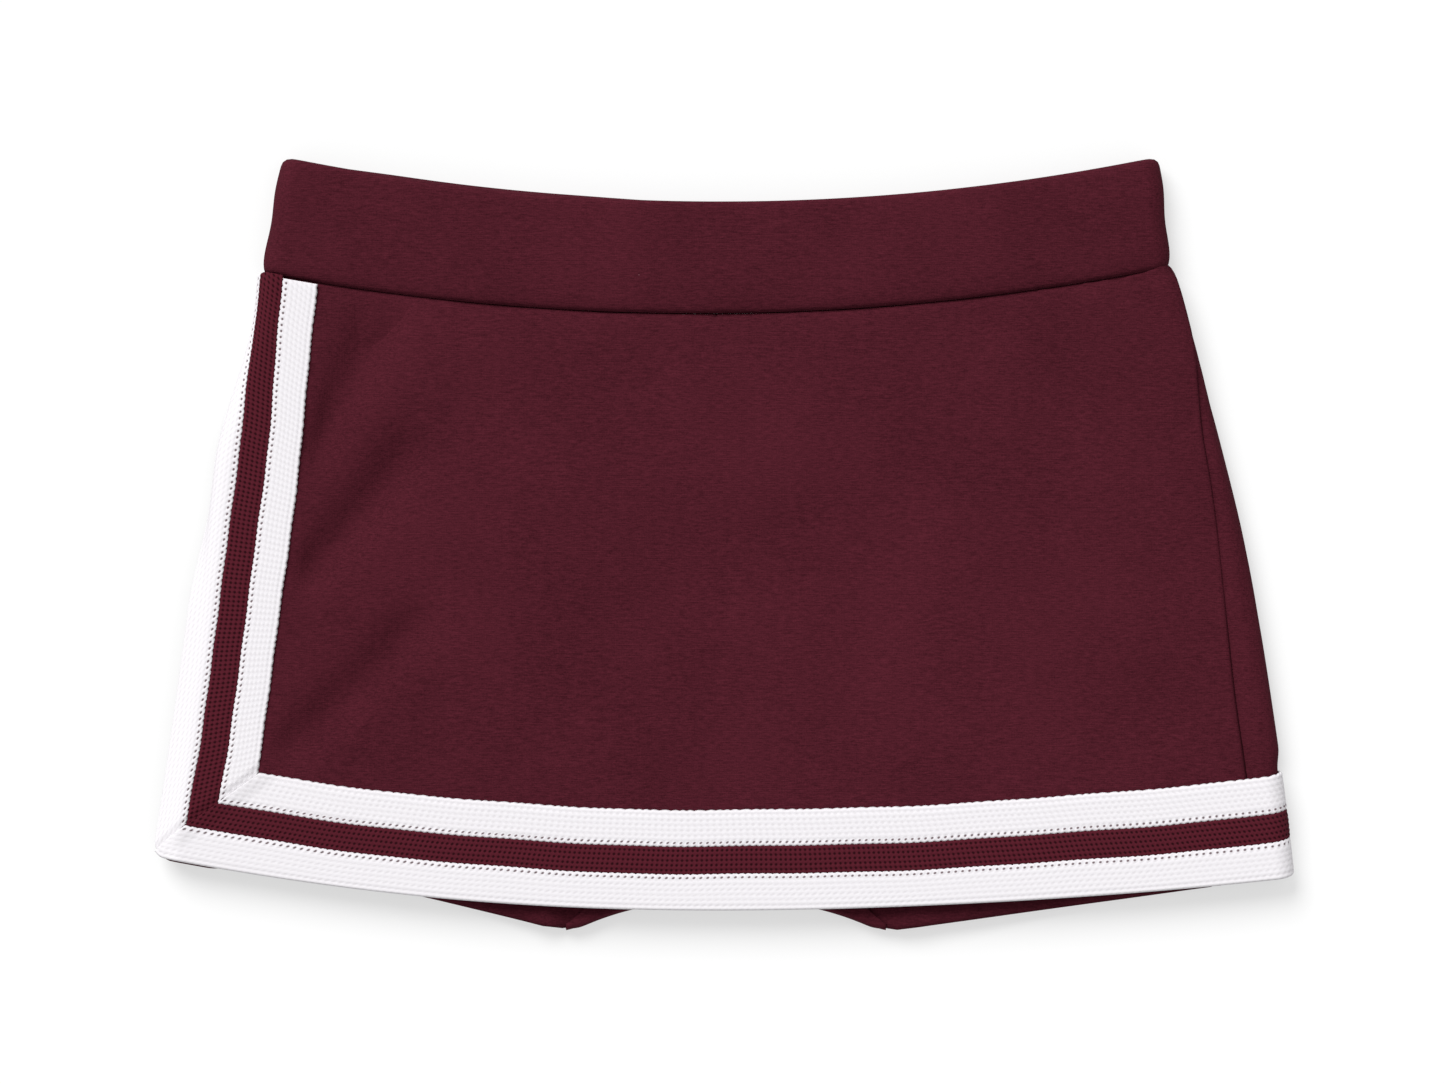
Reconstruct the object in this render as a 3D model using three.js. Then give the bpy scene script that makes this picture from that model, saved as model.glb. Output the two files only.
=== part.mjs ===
// A cheerleading skort laid flat, front up: an elasticated waistband, a skirt with one open slit edged
// in three-stripe braid, and the briefs sewn inside it. Millimetres, +X to the right, +Y towards the
// waist, +Z up. The origin is under the middle of the garment, on the surface that it lies on.
//
// Every layer is measured as a depth in from one flattened tube, which is as thick as the folded
// garment and has round folds at its two sides.

import * as THREE from 'three';
import { mergeVertices } from 'three/addons/utils/BufferGeometryUtils.js';

// ---- Driving sizes -----------------------------------------------------------------------------

const waistWidth = 333.2;
const bandSeamWidth = 344.6;
const bandDepth = 41.2;
const skirtLength = 226.8;
const skirtTopWidth = 366.9;
const hemWidth = 437.7;
const sag = 16.8;
const hemTilt = 8.6;
const hemSkew = 1.4;
const seamTilt = 2.3;
const slitBow = 2.4;
const sideBow = 4.9;

const fabricThickness = 0.9;
const braidThickness = 1.2;
const liningThickness = 0.7;
const elasticThickness = 1.2;
const elasticWidth = 38;
const elasticClearance = 0.25;
const gap = 0.3;
const bodySpace = 7.6;
const liningAir = 0.6;

const whiteStripe = 13.5;
const centreStripe = 11.1;
const stripeGap = 0.3;
const seamTuck = 1.2;
const clothInset = 1;

const flatWaistOffset = -1.7;
const bandSeamOffset = -3.7;
const sideOverhang = 4;
const hemOffset = -2.2;
const topCornerY = 147.1;
const seamEndDrop = 1.4;
const hemEndLift = 1;

const foldHemX = 20;
const foldTopInset = 5.1;
const foldGap = 0.4;

const slitWrap = 23.2;
const slitWrapHem = 13.5;
const slitDroopTop = 178;
const slitDroopHem = 38;
const backHemRaise = 2.5;
const backSlitOverhang = 3;
const backSlitClearance = 0.8;

// How far down the skirt, from 0 at the waist seam to 1 at the hem, the turn at the slit lets go.
const wrapReleaseFrom = 0.05;
const wrapReleaseTo = 0.35;
const droopReleaseFrom = 0.1;
const droopReleaseTo = 0.6;

const sideSeamInset = 8.2;
const sideSeamTravel = 6;

const briefsHemWidth = 388;
const legCornerX = 60;
const legCornerY = -146.7;
const leftLegSlope = 0.243;
const rightLegSlope = 0.138;
const crotchY = -134;
const crotchArchPower = 2.4;
const gussetHeight = 26;

const labelWidth = 34;
const labelLength = 38;
const labelThickness = 0.25;

// ---- Sizes that follow -------------------------------------------------------------------------

const braidWidth = 2 * whiteStripe + centreStripe;
const panelDepth = braidThickness + gap;
const panelInnerDepth = panelDepth + fabricThickness;
const liningDepth = panelInnerDepth + liningAir;
const liningInnerDepth = liningDepth + liningThickness;
const thickness = 2 * liningInnerDepth + bodySpace;
const foldRadius = thickness / 2;
const bandThickness = 2 * fabricThickness + 2 * elasticClearance + elasticThickness;
const bandTurnRadius = bandThickness / 2;
const seamEndY = topCornerY - bandDepth - seamEndDrop;
const hemEndY = seamEndY - skirtLength + hemTilt / 2 + hemEndLift;
const waistLeft = flatWaistOffset - waistWidth / 2;
const waistRight = flatWaistOffset + waistWidth / 2;
const seamLeft = bandSeamOffset - bandSeamWidth / 2;
const seamRight = bandSeamOffset + bandSeamWidth / 2;
const sideTopX = seamRight + sideOverhang;
const slitTopX = sideTopX - skirtTopWidth;
const slitHemX = hemOffset - hemWidth / 2;
const sideHemX = hemOffset + hemWidth / 2;

// ---- Helpers -----------------------------------------------------------------------------------

const lerp = THREE.MathUtils.lerp;
const smoothstep = THREE.MathUtils.smoothstep;
const skort = new THREE.Group();
const garment = new THREE.Group();
skort.add(garment);

function maroonCloth() {
  return new THREE.MeshStandardMaterial({ color: 0x4b1b26, roughness: 0.85, metalness: 0 });
}

function maroonBraid() {
  return new THREE.MeshStandardMaterial({ color: 0x54202c, roughness: 0.9, metalness: 0 });
}

function whiteBraid() {
  return new THREE.MeshStandardMaterial({ color: 0xf2f0f3, roughness: 0.8, metalness: 0 });
}

function whiteElastic() {
  return new THREE.MeshStandardMaterial({ color: 0xe8e6e2, roughness: 0.8, metalness: 0 });
}

function add(name, geometry, material) {
  const mesh = new THREE.Mesh(geometry, material);
  mesh.name = name;
  garment.add(mesh);
}

// A closed body from a grid of two lists of stations and a thickness: place(a, b, c) gives the point.
function sheet(alongStations, upStations, place) {
  const columns = alongStations.length - 1;
  const rows = upStations.length - 1;
  const geometry = new THREE.BoxGeometry(1, 1, 1, columns, rows, 1);
  const points = geometry.getAttribute('position');
  for (let i = 0; i < points.count; i += 1) {
    const column = Math.round((points.getX(i) + 0.5) * columns);
    const row = Math.round((points.getY(i) + 0.5) * rows);
    const across = points.getZ(i) + 0.5;
    points.setXYZ(i, ...place(alongStations[column], upStations[row], across));
  }
  return closedBody(geometry);
}

function closedBody(geometry) {
  geometry.deleteAttribute('normal');
  geometry.deleteAttribute('uv');
  const merged = mergeVertices(geometry, 1e-4);
  merged.computeVertexNormals();
  return merged;
}

// Stations from one value through others: each leg is [its end value, its number of steps].
function stations(start, ...legs) {
  const values = [start];
  let from = start;
  for (const [end, steps] of legs) {
    for (let i = 1; i <= steps; i += 1) {
      values.push(lerp(from, end, i / steps));
    }
    from = end;
  }
  return values;
}

// Where a crossing lies: the share between 0 and 1 at which a falling function reaches zero.
function crossing(fallingFunction) {
  let low = 0;
  let high = 1;
  for (let i = 0; i < 40; i += 1) {
    const middle = (low + high) / 2;
    if (fallingFunction(middle) > 0) {
      low = middle;
    } else {
      high = middle;
    }
  }
  return low;
}

// ---- The flattened tube ------------------------------------------------------------------------

// Round the tube, seen in section, at a depth in from its outside. The run goes 0 to 1 down the left
// fold, 1 to 2 along the back, 2 to 4 up the right fold, 4 to 5 along the front, 5 to 6 down again.
function aroundTube(run, depth, left, right) {
  if (run >= 1 && run <= 2) {
    return [lerp(left + foldRadius, right - foldRadius, run - 1), depth];
  }
  if (run >= 4 && run <= 5) {
    return [lerp(right - foldRadius, left + foldRadius, run - 4), thickness - depth];
  }
  const onRight = run > 2 && run < 4;
  const quarters = onRight ? run - 3 : run < 1 ? run + 2 : run - 4;
  const angle = quarters * Math.PI / 2;
  const centreX = onRight ? right - foldRadius : left + foldRadius;
  const radius = foldRadius - depth;
  return [centreX + radius * Math.cos(angle), foldRadius + radius * Math.sin(angle)];
}

// ---- Level lines -------------------------------------------------------------------------------

function sagging(x, left, right, leftY, rightY) {
  const share = (x - left) / (right - left);
  return lerp(leftY, rightY, share) - sag * 4 * share * (1 - share);
}

function topEdgeY(x) {
  return sagging(x, waistLeft, waistRight, topCornerY, topCornerY);
}

function waistSeamY(x) {
  return sagging(x, seamLeft, seamRight, seamEndY, seamEndY + seamTilt);
}

function hemY(x) {
  const skew = hemSkew * Math.sin(2 * Math.PI * (x - slitHemX) / hemWidth);
  return sagging(x, slitHemX, sideHemX, hemEndY, hemEndY - hemTilt) - skew;
}

// A point of the waistband: rise is 0 at the waist seam and 1 at the top edge.
function bandPoint(run, rise, depth) {
  const left = lerp(seamLeft, waistLeft, rise);
  const right = lerp(seamRight, waistRight, rise);
  const [x, z] = aroundTube(run, depth, left, right);
  const share = (x - left) / (right - left);
  const seamY = waistSeamY(lerp(seamLeft, seamRight, share));
  const topY = topEdgeY(lerp(waistLeft, waistRight, share));
  return [x, lerp(seamY, topY, rise), z];
}

// The skirt's two edges in plan: down is 0 at the waist seam and 1 at the hem.
function slitX(down) {
  return lerp(slitTopX, slitHemX, down) + slitBow * 4 * down * (1 - down);
}

function sideX(down) {
  return lerp(sideTopX, sideHemX, down) + sideBow * 4 * down * (1 - down);
}

function skirtY(share, down) {
  const seamY = waistSeamY(lerp(slitTopX, sideTopX, share));
  return lerp(seamY, hemY(lerp(slitHemX, sideHemX, share)), down);
}

// How fully the cloth beside the slit turns round the side, and how far in from the edge it starts to.
function turnedShare(down) {
  return 1 - smoothstep(down, wrapReleaseFrom, wrapReleaseTo);
}

function bendFromSlit(down) {
  return lerp(slitWrapHem, slitWrap, turnedShare(down));
}

// A point of the skirt's front, a distance in from the slit edge. Near the slit the cloth turns down
// round the side: fully at the waist, where it is sewn to the side of the band, and less at the hem.
function frontPoint(fromSlit, down, depth) {
  const [x, z] = frontSection(fromSlit, down, depth);
  const share = (x - slitX(down)) / (sideX(down) - slitX(down));
  return [x, skirtY(share, down), z];
}

function frontSection(fromSlit, down, depth) {
  const past = bendFromSlit(down) - fromSlit;
  if (past <= 0) {
    return [slitX(down) + fromSlit, thickness - depth];
  }
  const release = smoothstep(down, droopReleaseFrom, droopReleaseTo);
  const droop = THREE.MathUtils.degToRad(lerp(slitDroopTop, slitDroopHem, release));
  const angle = Math.min(past / foldRadius, droop);
  const straight = Math.max(0, past - foldRadius * droop);
  const radius = foldRadius - depth;
  const bendX = slitX(down) + bendFromSlit(down);
  const x = bendX - radius * Math.sin(angle) - straight * Math.cos(angle);
  const z = foldRadius + radius * Math.cos(angle) - straight * Math.sin(angle);
  return [x, z];
}

// The back's slit edge in plan: clear of the front edge where that turns right under, and otherwise
// a little inside it.
function backSlitX(down) {
  const inset = lerp(-backSlitOverhang, backSlitClearance, turnedShare(down));
  return slitX(down) + bendFromSlit(down) + inset;
}

// A point of the skirt's back and of its right-hand fold. Its hem is a little higher than the
// front's.
function backPoint(run, down, depth) {
  const [x, z] = aroundTube(run, depth, backSlitX(down) - foldRadius, sideX(down));
  const share = (x - slitX(down)) / (sideX(down) - slitX(down));
  const raise = backHemRaise * down * (1 - smoothstep(run, 2, 4));
  return [x, skirtY(share, down) + raise, z];
}

// How far down the skirt a line lies that is a distance up from the hem.
function downAtHem(fromHem) {
  return 1 - fromHem / skirtLength;
}

// ---- Fold of the front flap --------------------------------------------------------------------

// The flap opens along a straight line from the top of the slit to the hem.
const foldTop = frontPoint(slitWrap - foldTopInset, 0, 0);
const foldFoot = [foldHemX, hemY(foldHemX)];
const foldLength = Math.hypot(foldFoot[0] - foldTop[0], foldFoot[1] - foldTop[1]);

// How far a point lies from the fold line: more than zero on the flap.
function pastFold(point) {
  const alongX = (foldFoot[0] - foldTop[0]) / foldLength;
  const alongY = (foldFoot[1] - foldTop[1]) / foldLength;
  return (point[0] - foldTop[0]) * alongY - (point[1] - foldTop[1]) * alongX;
}

// The distance in from the slit edge at which a level of the front crosses the fold line. Cloth that
// has turned past upright is always on the flap.
function foldFromSlit(down, depth, offset) {
  const upright = Math.max(0, bendFromSlit(down) - foldRadius * Math.PI / 2);
  const width = sideX(down) - slitX(down) - upright;
  const cut = crossing((share) => pastFold(frontPoint(upright + share * width, down, depth)) - offset);
  return upright + cut * width;
}

// The level at which a line at a distance in from the slit edge crosses the fold line.
function foldDown(fromSlit, depth, offset) {
  return crossing((down) => offset - pastFold(frontPoint(fromSlit, down, depth)));
}

// ---- Waistband ---------------------------------------------------------------------------------

// Each half is one strip of cloth folded over at the top edge, with both its layers down to the seam.
// The fold's path goes 0 to 1 up the outer layer, 1 to 2 over the top and 2 to 3 down the inner layer.
function foldedBand(run, path, through) {
  const riseAtTurn = 1 - bandTurnRadius / bandDepth;
  const inFromFace = through * fabricThickness;
  if (path <= 1) {
    return bandPoint(run, riseAtTurn * path, inFromFace);
  }
  if (path >= 2) {
    return bandPoint(run, riseAtTurn * (3 - path), bandThickness - inFromFace);
  }
  const angle = (path - 1) * Math.PI;
  const radius = bandTurnRadius - inFromFace;
  const rise = riseAtTurn + radius * Math.sin(angle) / bandDepth;
  return bandPoint(run, rise, bandTurnRadius - radius * Math.cos(angle));
}

const sideSeamRun = gap / 2 / foldRadius;
const foldPath = stations(0, [1, 2], [2, 5], [3, 2]);
const backRuns = stations(sideSeamRun, [1, 4], [2, 12], [3 - sideSeamRun, 4]);
const frontRuns = stations(3 + sideSeamRun, [4, 4], [5, 12], [6 - sideSeamRun, 4]);
add('waistband_back', sheet(backRuns, foldPath, foldedBand), maroonCloth());
add('waistband_front', sheet(frontRuns, foldPath, foldedBand), maroonCloth());

// The elastic is one closed loop inside both halves.
function elasticLoop() {
  const loopRuns = stations(0, [1, 4], [2, 12], [4, 8], [5, 12], [6, 4]);
  const steps = loopRuns.length - 1;
  const corners = [[1, 0], [2, 0], [2, 1], [1, 1], [1, 0]];
  const profile = corners.map(([radius, height]) => new THREE.Vector2(radius, height));
  const geometry = new THREE.LatheGeometry(profile, steps);
  const points = geometry.getAttribute('position');
  const outerDepth = fabricThickness + elasticClearance;
  const topRise = 1 - (fabricThickness + 3 * elasticClearance) / bandDepth;
  for (let i = 0; i < points.count; i += 1) {
    const turn = Math.atan2(-points.getX(i), points.getZ(i)) / (2 * Math.PI);
    const step = Math.round((turn < -1e-6 ? turn + 1 : turn) * steps) % steps;
    const outside = Math.hypot(points.getX(i), points.getZ(i)) > 1.5;
    const depth = outside ? outerDepth : outerDepth + elasticThickness;
    const rise = topRise - (1 - points.getY(i)) * elasticWidth / bandDepth;
    points.setXYZ(i, ...bandPoint(loopRuns[step], rise, depth));
  }
  return closedBody(geometry);
}

add('waist_elastic', elasticLoop(), whiteElastic());

// ---- Skirt panels ------------------------------------------------------------------------------

const tuckedHead = -seamTuck / skirtLength;
const freeHead = gap / skirtLength;
const panelFoot = downAtHem(clothInset);

// The panels' top edges are caught between the band's two layers where both lie flat, and stop just
// short of the band at its side folds, where the skirt stands a little prouder than the band.
function headDown(x) {
  const fromFold = Math.min(x - seamLeft, seamRight - x) - foldRadius;
  return fromFold > foldRadius ? tuckedHead : freeHead;
}

function sideSeamFromSlit(down) {
  const travel = sideSeamTravel * (1 - (1 - down) * (1 - down));
  return sideX(down) - slitX(down) - sideSeamInset - travel;
}

function panelDepthAt(through) {
  return panelInnerDepth - through * fabricThickness;
}

const panelRows = stations(0, [0.75, 5], [1, 12]);

const frontPanel = sheet(stations(0, [0.04, 3], [1, 10]), panelRows, (a, up, c) => {
  const depth = panelDepthAt(c);
  const down = lerp(panelFoot, headDown(lerp(slitTopX + slitWrap, sideTopX, a)), up);
  const start = foldFromSlit(Math.max(down, 0), depth, -foldGap / 2);
  return frontPoint(lerp(start, sideSeamFromSlit(down) - gap / 2, a), down, depth);
});
add('front_panel', frontPanel, maroonCloth());

const flapColumns = stations(0, [1, 8], [2, 5]);
const flapRows = stations(panelFoot, [0.4, 12], [freeHead, 14]);

const frontFlap = sheet(flapColumns, flapRows, (a, down, c) => {
  const depth = panelDepthAt(c);
  const end = foldFromSlit(down, depth, foldGap / 2);
  const bend = Math.min(slitWrap, end);
  const fromSlit = a < 1 ? lerp(clothInset, bend, a) : lerp(bend, end, a - 1);
  return frontPoint(fromSlit, down, depth);
});
add('front_flap', frontFlap, maroonCloth());

// The back panel runs across the back, up round the right-hand fold and on to the side seam in front.
function sideSeamRunAt(down) {
  const flat = sideX(down) - slitX(down);
  const front = flat - sideSeamFromSlit(down) + gap / 2 - foldRadius;
  return front / (sideX(down) - backSlitX(down) - foldRadius);
}

const backPanel = sheet(stations(1, [2, 10], [4, 8], [5, 1]), panelRows, (run, up, c) => {
  const depth = panelDepth + c * fabricThickness;
  const headX = run < 2 ? lerp(backSlitX(0), sideTopX, run - 1) : sideTopX;
  const down = lerp(panelFoot, headDown(headX), up);
  const reach = run > 4 ? 4 + (run - 4) * sideSeamRunAt(down) : run;
  return backPoint(reach, down, depth);
});
add('back_panel', backPanel, maroonCloth());

// ---- Three-stripe braid ------------------------------------------------------------------------

// Each stripe lies between two distances in from the edge that the braid follows.
const stripes = [
  { place: 'outer', from: 0, to: whiteStripe, material: whiteBraid },
  { place: 'centre', from: whiteStripe, to: whiteStripe + centreStripe, material: maroonBraid },
  { place: 'inner', from: whiteStripe + centreStripe, to: braidWidth, material: whiteBraid },
];

function braidDepth(through) {
  return braidThickness * (1 - through);
}

const acrossStripe = stations(0, [1, 3]);
const alongBraid = stations(0, [0.6, 10], [1, 14]);
const alongHem = stations(0, [0.1, 6], [1, 10]);

// The slit braid is parted at the fold line, or just under the waist seam where that line misses it.
function headBraidFoot(fromEdge, depth, offset) {
  return Math.max(foldDown(fromEdge, depth, offset), 2 * freeHead);
}

for (const stripe of stripes) {
  const near = stripe.from + (stripe.from > 0 ? stripeGap / 2 : 0);
  const far = stripe.to - stripeGap / 2;
  const inStripe = (share) => lerp(near, far, share);
  const acrossTurn = stations(0, [1, stripe.from > 0 ? 3 : 6]);

  // Up the slit edge of the flap, from the mitre at the hem to the fold line or the waist seam.
  const slitBraid = sheet(acrossTurn, alongBraid, (a, up, c) => {
    const fromEdge = inStripe(a);
    const depth = braidDepth(c);
    const foot = downAtHem(fromEdge + stripeGap / 2);
    const head = stripe.from > 0 ? headBraidFoot(fromEdge, depth, foldGap / 2) + freeHead : freeHead;
    return frontPoint(fromEdge, lerp(foot, head, up), depth);
  });
  add(`flap_slit_braid_${stripe.place}`, slitBraid, stripe.material());

  // The rest of the slit braid, from the fold line up to the waist seam.
  if (stripe.from > 0) {
    const headBraid = sheet(acrossStripe, stations(0, [1, 4]), (a, up, c) => {
      const fromEdge = inStripe(a);
      const depth = braidDepth(c);
      const foot = headBraidFoot(fromEdge, depth, -foldGap / 2);
      return frontPoint(fromEdge, lerp(foot, freeHead, up), depth);
    });
    add(`front_slit_braid_${stripe.place}`, headBraid, stripe.material());
  }

  // Along the hem of the flap, from the mitre to the fold line.
  const flapHemBraid = sheet(alongHem, acrossStripe, (a, up, c) => {
    const fromHem = inStripe(up);
    const down = downAtHem(fromHem);
    const depth = braidDepth(c);
    const end = foldFromSlit(down, depth, foldGap / 2);
    return frontPoint(lerp(fromHem + stripeGap / 2, end, a), down, depth);
  });
  add(`flap_hem_braid_${stripe.place}`, flapHemBraid, stripe.material());

  // Along the hem of the front panel, from the fold line to the right-hand fold.
  const frontHemBraid = sheet(stations(0, [1, 8]), stations(0, [1, 2]), (a, up, c) => {
    const down = downAtHem(inStripe(up));
    const depth = braidDepth(c);
    const start = foldFromSlit(down, depth, -foldGap / 2);
    const end = sideX(down) - slitX(down) - foldRadius - gap;
    return frontPoint(lerp(start, end, a), down, depth);
  });
  add(`front_hem_braid_${stripe.place}`, frontHemBraid, stripe.material());

  // Round the right-hand fold and along the hem of the back, to the mitre at its slit.
  const backHemBraid = sheet(stations(1, [2, 10], [4, 6]), stations(0, [1, 2]), (run, up, c) => {
    const fromHem = inStripe(up);
    const down = downAtHem(fromHem);
    const mitre = (fromHem + stripeGap / 2) / (sideX(down) - slitX(down) - slitWrapHem);
    const reach = run < 2 ? lerp(1 + mitre, 2, run - 1) : run;
    return backPoint(reach, down, braidThickness - braidDepth(c));
  });
  add(`back_hem_braid_${stripe.place}`, backHemBraid, stripe.material());

  // Up the slit edge of the back, from the mitre to the waist seam.
  const backSlitBraid = sheet(acrossStripe, stations(0, [1, 10]), (a, up, c) => {
    const fromEdge = inStripe(a);
    const down = lerp(downAtHem(fromEdge + stripeGap), freeHead, up);
    const share = fromEdge / (sideX(down) - slitX(down) - slitWrapHem);
    return backPoint(1 + share, down, braidThickness - braidDepth(c));
  });
  add(`back_slit_braid_${stripe.place}`, backSlitBraid, stripe.material());
}

// ---- Briefs ------------------------------------------------------------------------------------

// The bottom edge in plan: two sloping leg hems, with the arch of the crotch between their corners.
function legHemY(x) {
  const slope = x < 0 ? leftLegSlope : rightLegSlope;
  return legCornerY + slope * (Math.abs(x) - legCornerX);
}

function crotchArchY(x) {
  return crotchY + (legCornerY - crotchY) * (Math.abs(x) / legCornerX) ** crotchArchPower;
}

const liningTurn = foldRadius - liningDepth;

// The gusset is a diamond: its top edges run straight from the middle of the front to the leg corners.
function gussetTopY(x) {
  const share = Math.abs(x) / legCornerX;
  return lerp(crotchY + gussetHeight, legCornerY + clothInset, share) + liningTurn;
}

function briefsFootY(x) {
  return Math.abs(x) < legCornerX ? gussetTopY(x) + 2 * gap : legHemY(x);
}

const briefsLeft = hemOffset - briefsHemWidth / 2;
const briefsRight = hemOffset + briefsHemWidth / 2;

function briefsPoint(run, down, depth) {
  const left = lerp(seamLeft, briefsLeft, down);
  const right = lerp(seamRight, briefsRight, down);
  const [x, z] = aroundTube(run, depth, left, right);
  const share = (x - left) / (right - left);
  const headY = waistSeamY(lerp(seamLeft, seamRight, share)) - gap;
  const footY = briefsFootY(aroundTube(run, depth, briefsLeft, briefsRight)[0]);
  return [x, lerp(headY, footY, down), z];
}

// Runs of the briefs' back and front whose foot lies at a given X.
function backRunAt(x) {
  return 1 + (x - briefsLeft - foldRadius) / (briefsHemWidth - 2 * foldRadius);
}

function frontRunAt(x) {
  return 6 - backRunAt(x);
}

const briefsDown = stations(1, [0, 9]);
const justOutside = legCornerX + gap;
const justInside = legCornerX - gap;

function addBriefsQuarter(name, runs) {
  const quarter = sheet(runs, briefsDown, (run, down, c) => {
    return briefsPoint(run, down, liningDepth + c * liningThickness);
  });
  add(name, quarter, maroonCloth());
}

const backLeftRuns = stations(
  sideSeamRun,
  [1, 4],
  [backRunAt(-justOutside), 4],
  [backRunAt(-justInside), 1],
  [backRunAt(-gap / 2), 4],
);
const backRightRuns = stations(
  backRunAt(gap / 2),
  [backRunAt(justInside), 4],
  [backRunAt(justOutside), 1],
  [2, 4],
  [3 - sideSeamRun, 4],
);
const frontRightRuns = stations(
  3 + sideSeamRun,
  [4, 4],
  [frontRunAt(justOutside), 4],
  [frontRunAt(justInside), 1],
  [frontRunAt(gap / 2), 4],
);
const frontLeftRuns = stations(
  frontRunAt(-gap / 2),
  [frontRunAt(-justInside), 4],
  [frontRunAt(-justOutside), 1],
  [5, 4],
  [6 - sideSeamRun, 4],
);
addBriefsQuarter('briefs_back_left', backLeftRuns);
addBriefsQuarter('briefs_back_right', backRightRuns);
addBriefsQuarter('briefs_front_right', frontRightRuns);
addBriefsQuarter('briefs_front_left', frontLeftRuns);

// The gusset joins front to back under the crotch. Its path goes 0 to 1 down the back, 1 to 2 round
// the turn and 2 to 3 up the front.
const gussetEnd = legCornerX - 2 * gap;
const gussetColumns = stations(-gussetEnd, [gussetEnd, 8]);
const gussetPath = stations(3, [2, 2], [1, 6], [0, 2]);

const gusset = sheet(gussetColumns, gussetPath, (x, path, c) => {
  const depth = liningDepth + c * liningThickness;
  const arch = crotchArchY(x) + liningTurn;
  if (path <= 1) {
    return [x, lerp(gussetTopY(x), arch, path), depth];
  }
  if (path >= 2) {
    return [x, lerp(arch, gussetTopY(x), path - 2), thickness - depth];
  }
  const angle = (path - 1) * Math.PI;
  const radius = foldRadius - depth;
  return [x, arch - radius * Math.sin(angle), foldRadius - radius * Math.cos(angle)];
});
add('briefs_gusset', gusset, maroonCloth());

// ---- Care label --------------------------------------------------------------------------------

// A blank label caught in the waist seam inside the back.
const labelBottom = liningInnerDepth + gap;
const labelColumns = stations(-labelWidth / 2, [labelWidth / 2, 2]);
const labelRows = stations(labelLength, [0, 2]);

const label = sheet(labelColumns, labelRows, (x, fall, c) => {
  return [x, waistSeamY(x) + clothInset - fall, labelBottom + c * labelThickness];
});
add('care_label', label, whiteElastic());

// The origin lies under the middle of the whole garment.
const box = new THREE.Box3().setFromObject(garment);
const middle = box.getCenter(new THREE.Vector3());
garment.position.set(-middle.x, -middle.y, -box.min.z);

export default skort;
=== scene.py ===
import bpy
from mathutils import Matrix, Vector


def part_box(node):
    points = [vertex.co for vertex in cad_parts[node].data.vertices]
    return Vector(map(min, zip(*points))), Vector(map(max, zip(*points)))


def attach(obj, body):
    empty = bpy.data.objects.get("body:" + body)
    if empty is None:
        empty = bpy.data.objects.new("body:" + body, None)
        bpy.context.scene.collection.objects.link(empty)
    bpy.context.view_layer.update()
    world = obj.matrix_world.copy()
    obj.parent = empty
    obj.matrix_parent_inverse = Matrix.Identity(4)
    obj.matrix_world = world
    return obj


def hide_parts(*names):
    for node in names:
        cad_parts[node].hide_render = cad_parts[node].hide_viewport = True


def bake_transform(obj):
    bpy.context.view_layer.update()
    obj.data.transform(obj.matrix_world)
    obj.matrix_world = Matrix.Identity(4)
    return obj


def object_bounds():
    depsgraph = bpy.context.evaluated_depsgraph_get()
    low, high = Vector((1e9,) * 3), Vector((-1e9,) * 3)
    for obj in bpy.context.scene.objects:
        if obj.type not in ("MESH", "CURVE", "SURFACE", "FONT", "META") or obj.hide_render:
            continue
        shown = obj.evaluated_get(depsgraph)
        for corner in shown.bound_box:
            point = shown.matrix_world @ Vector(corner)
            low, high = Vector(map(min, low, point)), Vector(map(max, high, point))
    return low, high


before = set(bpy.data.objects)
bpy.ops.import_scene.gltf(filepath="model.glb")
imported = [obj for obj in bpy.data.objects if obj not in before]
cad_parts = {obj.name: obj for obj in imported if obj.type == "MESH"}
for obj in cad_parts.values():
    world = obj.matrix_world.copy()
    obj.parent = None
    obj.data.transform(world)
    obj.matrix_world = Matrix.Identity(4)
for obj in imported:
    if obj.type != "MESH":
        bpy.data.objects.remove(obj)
cad_box = [list(corner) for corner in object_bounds()]

import math

import bmesh
import bpy
from mathutils import Vector

# ---- Camera, table and light ------------------------------------------------
# The skort lies on a white table, seen from straight above with a long lens.
# One broad soft light comes from the waistband's left, over an even white room.

MM = 0.001
view_width = 549.1 * MM
view_height = 2.5
cloth_level = 13 * MM
view_middle = (-0.2 * MM, 1.8 * MM)

scene = bpy.context.scene
scene.view_settings.view_transform = "Standard"

camera_data = bpy.data.cameras.new("overhead_camera")
camera_data.sensor_width = 36
camera_data.lens = camera_data.sensor_width * (view_height - cloth_level) / view_width
camera = bpy.data.objects.new("overhead_camera", camera_data)
camera.location = (*view_middle, view_height)
scene.collection.objects.link(camera)
scene.camera = camera

soft_sun = bpy.data.lights.new("soft_sun", "SUN")
soft_sun.energy = 3.75
soft_sun.angle = 0.65
sun = bpy.data.objects.new("soft_sun", soft_sun)
sun.rotation_euler = Vector((0.52, -0.85, -1.0)).to_track_quat("-Z", "Y").to_euler()
scene.collection.objects.link(sun)

room = bpy.data.worlds.new("white_room")
room.use_nodes = True
room.node_tree.nodes["Background"].inputs["Color"].default_value = (1, 1, 1, 1)
room.node_tree.nodes["Background"].inputs["Strength"].default_value = 0.68
scene.world = room

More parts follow.
